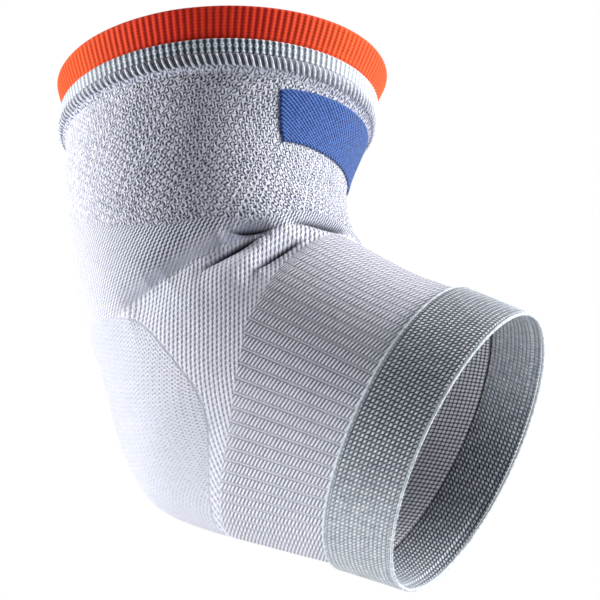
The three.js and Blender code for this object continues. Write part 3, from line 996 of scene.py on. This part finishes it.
def seam_outline():
    """The padded ridge under the stitches, a little lower than the solid so that the threads fit on it."""
    low = SEAM_THICKNESS - STITCH_RADIUS

    def at(share):
        """The place along the arm at a share of the seam's height."""
        return SEAM_TOP - share * SEAM_HEIGHT

    return [
        [GAP, at(0)], [GAP + 0.75 * low, at(0.03)], [GAP + low, at(0.25)], [GAP + 0.85 * low, at(0.5)],
        [GAP + 0.4 * low, at(0.8)], [0.6 * GAP, at(1.03)], [0.2 * GAP, at(1.14)], [0, at(1.15)],
    ]


def ridge_material():
    """Painted shadow between the stitches, deepest on the flat sides, and knit colour at the foot by the
    sleeve.
    """
    paint = Paint("seam_ridge")
    turn, along = paint.uv()
    foot = SEAM_TOP - SEAM_HEIGHT
    fuzz = paint.fuzz(2400.0)
    side = flank_shade(turn, 0.6, 0.95)
    # Painted shadow: near black on the flat sides, pale over the tip and the crook
    shadow_colour = paint.mix(side, colour(204, 208, 219), colour(10, 12, 20))
    shade = paint.mix(fuzz, shadow_colour, colour(110, 114, 132))
    light = ramp(along + 0.6 * (fuzz - 0.5), foot + 1.5, foot + 0.9)
    gap = lattice_gap(turn, along) * 0.9
    depth = ramp(gap + 0.7 * (fuzz - 0.5), 0.0, 1.0)
    foot_knit = paint.mix(depth, colour(226, 228, 242), colour(82, 88, 118))
    return paint.cloth(paint.mix(light, shade, foot_knit), 0.4 * fuzz - gap * light, 0.35)


def thread_material(name, bright, dark):
    """Bright thread with fine darker plies."""
    paint = Paint(name)
    fuzz = paint.fuzz(PLY_SCALE)
    fine = paint.noise(4000.0)
    shade = paint.mix(ramp(fuzz + 0.5 * (fine - 0.5), 0.35, 0.65), dark, bright)
    return paint.cloth(shade, fine, 0.15)


def stitch_paths():
    """From the seam's upper edge over the ridge: straight and slanted, then hooked forward at the foot."""
    share = np.linspace(0, 1, STITCH_POINTS)[None, :]
    start = (np.arange(OVERLOCK_STITCHES) / OVERLOCK_STITCHES)[:, None]
    hook = np.clip((share - 0.72) / 0.28, 0, 1) ** 2
    turn = start + (0.85 * share + 0.2 * hook) / OVERLOCK_STITCHES
    height = SEAM_TOP - (0.02 + 0.84 * share - 0.06 * hook) * SEAM_HEIGHT
    arch = np.clip(np.sin(np.pi * (0.1 + 0.8 * share)), 0, 1) ** 0.6
    swell = GAP + 0.35 + (SEAM_THICKNESS - 2 * STITCH_RADIUS + 0.1) * arch
    path = tube_point(turn * TAU, upper_station(height), swell)
    outward = tube_point(turn * TAU, upper_station(height), swell + 1.0) - path
    return path, outward


ridge = ring_piece("seam_ridge", seam_outline(), upper_station, 504, 0.7)
finish_piece(ridge, "overlock_seam", ridge_material())
stitches = thread_piece("seam_stitches", *stitch_paths(), STITCH_RADIUS)
seam_paint = thread_material("seam_thread", colour(240, 242, 248), colour(184, 189, 203))
finish_piece(stitches, "overlock_seam", seam_paint)

# %% [markdown]
# ## The woven cuff
#
# Elastic webbing has a plain weave: its threads show as small light beads in slanted rows, with a dark net
# of gaps between them, and no two beads are quite as bright. The lip inside the edge is thinner. A bump
# alone would leave the edge straight, so the net is also pressed into the mesh.

# %% Cuff
CUFF_ROUND = 200
CUFF_ROW = 1.3


def weave_gap(turn, along):
    """Light beads in a dark net: waves of both thread directions, of their difference and of their sum."""
    warp = turn * CUFF_ROUND
    weft = along / CUFF_ROW
    waves = ((0.34, weft), (0.24, warp), (0.28, weft - warp), (0.14, weft + warp))
    return ramp(sum(strength * cosine(place * TAU) for strength, place in waves), 0.25, -0.35)


def cuff_material():
    """Light beads of uneven brightness in a dark net, painted fainter over the tip and the crook, where the
    side lights fall.
    """
    paint = Paint("woven_elastic")
    turn, along = paint.uv()
    fuzz = paint.fuzz()
    # Painted light: the net is fainter over the tip and the crook, which face the side lights
    gap = weave_gap(turn, along) * (0.6 + 0.4 * flank_shade(turn, 0.5, 0.9))
    depth = ramp(gap + 0.9 * (fuzz - 0.5), 0.1, 0.9)
    bright = ramp(paint.noise(620.0, 2.0) + 0.3 * (paint.noise(80.0) - 0.5), 0.3, 0.7)
    yarn = paint.mix(bright, colour(182, 190, 201), colour(228, 233, 239))
    return paint.cloth(paint.mix(depth, yarn, colour(44, 48, 66)), fuzz * 0.3 - gap, 0.45)


cuff_outer = GAP + CUFF_WALL
lip_inner = cuff_outer - CUFF_LIP_WALL
lip_start = FOREARM_LENGTH - CUFF_LIP
cuff_outline = [
    [cuff_outer, CUFF_START], [cuff_outer, FOREARM_LENGTH], [lip_inner, FOREARM_LENGTH],
    [lip_inner, lip_start], [GAP, lip_start - 0.3 * CUFF_WALL], [GAP, CUFF_START],
]


def cuff_relief(turn, along, outer):
    """The net is pressed in a little from both faces."""
    return (0.05 - 0.14 * weave_gap(turn, along)) * (2 * outer - 1)


cuff = ring_piece("cuff_webbing", cuff_outline, forearm_station, 800, 0.42, cuff_relief)
finish_piece(cuff, "forearm_cuff", cuff_material())

# %% [markdown]
# ## The cords along the cuff
#
# A twisted cord is sewn along each edge of the webbing. It could be a curve with a twist, but its ends would
# have to be joined. As a grid that closes both ways it is a whole ring, and its plies are real.

# %% Cords
CORD_TURNS = 210
CORD_COLUMNS = 1260
CORD_SIDES = 9


def cord_piece(name, distance):
    """A three-ply cord round the arm: its radius follows the cosine of three times the section's angle."""
    turn = np.arange(CORD_COLUMNS) / CORD_COLUMNS
    spin = -np.arange(CORD_SIDES) * TAU / CORD_SIDES
    radius = CORD_RADIUS * (0.94 + 0.16 * np.cos(3 * spin[:, None] + TAU * CORD_TURNS * turn[None, :]))
    middle = GAP + max(CUFF_WALL / 2, CORD_RADIUS)
    along = distance + radius * np.sin(-spin[:, None])
    grid = tube_point(turn[None, :] * TAU, forearm_station(along), middle + radius * np.cos(spin[:, None]))
    return tube_shell(name, grid, turn, along)


cord_paint = thread_material("edge_thread", colour(232, 238, 242), colour(176, 188, 198))
edge_cord = cord_piece("edge_cord_twist", CUFF_START - GAP - CORD_RADIUS)
rim_cord = cord_piece("rim_cord_twist", FOREARM_LENGTH + GAP + CORD_RADIUS)
finish_piece(edge_cord, "cuff_edge_cord", cord_paint)
finish_piece(rim_cord, "cuff_rim_cord", cord_paint)

# %% [markdown]
# ## The label
#
# A plain woven patch in blue. Its twill shows as slanted streaks of a lighter and a darker blue. A flat
# plane wrapped by a modifier would have no edge, so it is a closed patch on the knit round the front, its
# upper edge rising a little.

# %% Label
LABEL_START = (308.5, 0.812)
LABEL_END = (379.0, 0.864)
LABEL_LEAN = 6.0
LABEL_COLUMNS = 240
LABEL_ROWS = 60
# Millimetres from the edge in which the patch reaches its full thickness
LABEL_ROUNDING = 0.6
TWILL_PITCH = 1.7


def label_grid(stand_off):
    """Points between the label's two ends, its upper edge following the root of the share."""
    share = np.linspace(0, 1, LABEL_COLUMNS)[None, :]
    fall = np.linspace(0, 1, LABEL_ROWS)[:, None]
    angle = np.radians(LABEL_START[0] + (LABEL_END[0] - LABEL_START[0]) * share + LABEL_LEAN * fall)
    upper = UPPER_LENGTH * (LABEL_START[1] + (LABEL_END[1] - LABEL_START[1]) * np.sqrt(share))
    return tube_point(angle, upper_station(upper - LABEL_HEIGHT * fall), stand_off)


def twill(across, down):
    """Slanted ribs of the weave, crossed by finer threads."""
    ribs = wave((across - 1.4 * down) / TWILL_PITCH)
    threads = wave((across + 2.0 * down) / TWILL_PITCH)
    return 0.6 * ribs + 0.4 * threads


def label_material():
    """Two blues in slanted streaks, darker towards the gaps of the twill."""
    paint = Paint("label_weave")
    across, down = paint.uv()
    threads = twill(across, down)
    fuzz = paint.fuzz(1500.0)
    light = ramp(threads + 1.6 * (fuzz - 0.5), 0.1, 0.9)
    shade = paint.mix(light, colour(12, 30, 100), colour(66, 112, 186))
    return paint.cloth(shade, threads + 0.2 * fuzz, 0.2)


def label_piece():
    """A closed patch: the outside with its twill, the inside plain, both joined round the edge."""
    width = np.radians(LABEL_END[0] - LABEL_START[0]) * UPPER_RADIUS
    across = np.linspace(0, 1, LABEL_COLUMNS)[None, :] * width
    down = np.linspace(0, 1, LABEL_ROWS)[:, None] * LABEL_HEIGHT
    to_edge = np.minimum(np.minimum(across, width - across), np.minimum(down, LABEL_HEIGHT - down))
    rim = np.clip(to_edge / LABEL_ROUNDING, 0, 1)
    crown = LABEL_WALL * (0.2 + 0.8 * np.sqrt(rim)) - 0.12 * (1 - twill(across, down)) * rim
    outer, inner = label_grid(GAP + crown), label_grid(GAP)
    size = LABEL_ROWS * LABEL_COLUMNS
    j, i = np.meshgrid(np.arange(LABEL_ROWS - 1), np.arange(LABEL_COLUMNS - 1), indexing="ij")
    a = j * LABEL_COLUMNS + i
    front = np.stack([a, a + LABEL_COLUMNS, a + LABEL_COLUMNS + 1, a + 1], -1).reshape(-1, 4)
    index = np.arange(size).reshape(LABEL_ROWS, LABEL_COLUMNS)
    loop = np.concatenate([index[0, :-1], index[:-1, -1], index[-1, :0:-1], index[:0:-1, 0]])
    after = np.roll(loop, -1)
    edge = np.stack([loop, after, after + size, loop + size], -1)
    quads = np.concatenate([front, front[:, ::-1] + size, edge])
    place = np.stack(np.broadcast_arrays(across, down), -1).reshape(-1, 2)
    uv = np.concatenate([place, place])[quads]
    points = np.concatenate([outer.reshape(-1, 3), inner.reshape(-1, 3)])
    return make_piece("label_patch", points, [quads], uv)


label = finish_piece(label_piece(), "label", label_material())

# %% [markdown]
# ## The hem
#
# The welt and the overlock stitches are the hem of the upper part.

# %% [markdown]
# ## Floor, light and background
#
# The support hangs in front of a white ground, lit from both sides by soft boxes, so its middle stays
# darker than its edges. The world is white to the camera alone, and dim to the cloth. The floor lies well
# below, because the camera looks up from underneath.

# %% Studio
FLOOR_HEIGHT = -620.0
FLOOR_REACH = 4.0
AMBIENT = 0.15

floor_mesh = bpy.data.meshes.new("floor")
floor_corners = np.array([(-1, -1), (1, -1), (1, 1), (-1, 1)]) * FLOOR_REACH
floor_points = [(x, y, FLOOR_HEIGHT * MM) for x, y in floor_corners.tolist()]
floor_mesh.from_pydata(floor_points, [], [(0, 1, 2, 3)])
floor = bpy.data.objects.new("floor", floor_mesh)
bpy.context.scene.collection.objects.link(floor)
floor_paint = Paint("floor")
grain = floor_paint.noise(3.0)
floor_shade = floor_paint.mix(grain, colour(232, 232, 232), colour(240, 240, 240))
floor_mesh.materials.append(floor_paint.cloth(floor_shade, grain, 0.1, sheen=0.0))


def soft_box(name, right, up, towards, size, power):
    """An area light so many metres to the right, up and towards the camera, aimed at the part."""
    light = bpy.data.lights.new(name, "AREA")
    light.shape = "RECTANGLE"
    light.size, light.size_y = size
    light.energy = power
    box = bpy.data.objects.new(name, light)
    place = Vector(CAMERA_TARGET * MM + right * view_right + up * view_up + towards * away)
    aim = Vector(CAMERA_TARGET * MM) - place
    box.matrix_world = Matrix.Translation(place) @ aim.to_track_quat("-Z", "Y").to_matrix().to_4x4()
    bpy.context.scene.collection.objects.link(box)


soft_box("left_box", -1.1, 0.05, -0.05, (0.5, 1.2), 17.8)
soft_box("right_box", 1.1, 0.55, -0.12, (0.5, 1.2), 33.5)

world = bpy.data.worlds.new("studio")
bpy.context.scene.world = world
sky = Paint("studio", world)
ground = sky.node("ShaderNodeBackground", None, {"Color": (1.0, 1.0, 1.0, 1.0)})
fill = sky.node("ShaderNodeBackground", None, {"Color": (0.9, 0.93, 1.0, 1.0), "Strength": AMBIENT})
seen = sky.node("ShaderNodeLightPath").outputs["Is Camera Ray"]
either = sky.node("ShaderNodeMixShader", None, {0: seen, 1: fill.outputs[0], 2: ground.outputs[0]})
sky.node("ShaderNodeOutputWorld", None, {0: either.outputs[0]})
bpy.context.scene.view_settings.view_transform = "Standard"
print("two soft boxes, and the floor at", FLOOR_HEIGHT, "mm")
